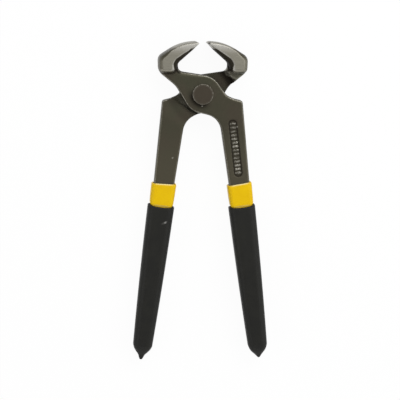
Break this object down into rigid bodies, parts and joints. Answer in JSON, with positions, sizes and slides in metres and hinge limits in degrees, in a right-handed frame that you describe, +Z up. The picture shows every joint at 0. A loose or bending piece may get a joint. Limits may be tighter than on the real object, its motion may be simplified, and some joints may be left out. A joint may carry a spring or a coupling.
{
  "type": "end cutting nippers",
  "caption": "Forged end cutting nippers with curved pincer jaws that cross at a flat-headed rivet, dark oxide levers and two-colour dipped sleeves on the handles.",
  "frame": {"origin": "middle of the bounding box in plan, on the surface that the tool lies on, under its jaws", "axes": "+Y along the tool toward the jaws, +Z up along the rivet's axis, +X to the right seen from above with the jaws away"},
  "size_m": [0.084, 0.1998, 0.02],
  "materials": {
    "lever_steel": "black oxide over a forged skin, ground bright on the jaw cheeks",
    "rivet_steel": "black oxide, turned face",
    "collar_pvc": "yellow dipped vinyl",
    "grip_pvc": "black dipped vinyl"
  },
  "bodies": {
    "front_half": {"front_lever": "lever_steel", "pivot_rivet": "rivet_steel", "right_collar": "collar_pvc", "right_grip": "grip_pvc"},
    "rear_half": {"rear_lever": "lever_steel", "left_collar": "collar_pvc", "left_grip": "grip_pvc"}
  },
  "joints": [
    {"name": "jaw_pivot", "type": "hinge", "parent": "front_half", "child": "rear_half", "pos_m": [0, 0.06773, 0.01], "axis": [0, 0, -1], "range_deg": [-8.7, 24]}
  ]
}
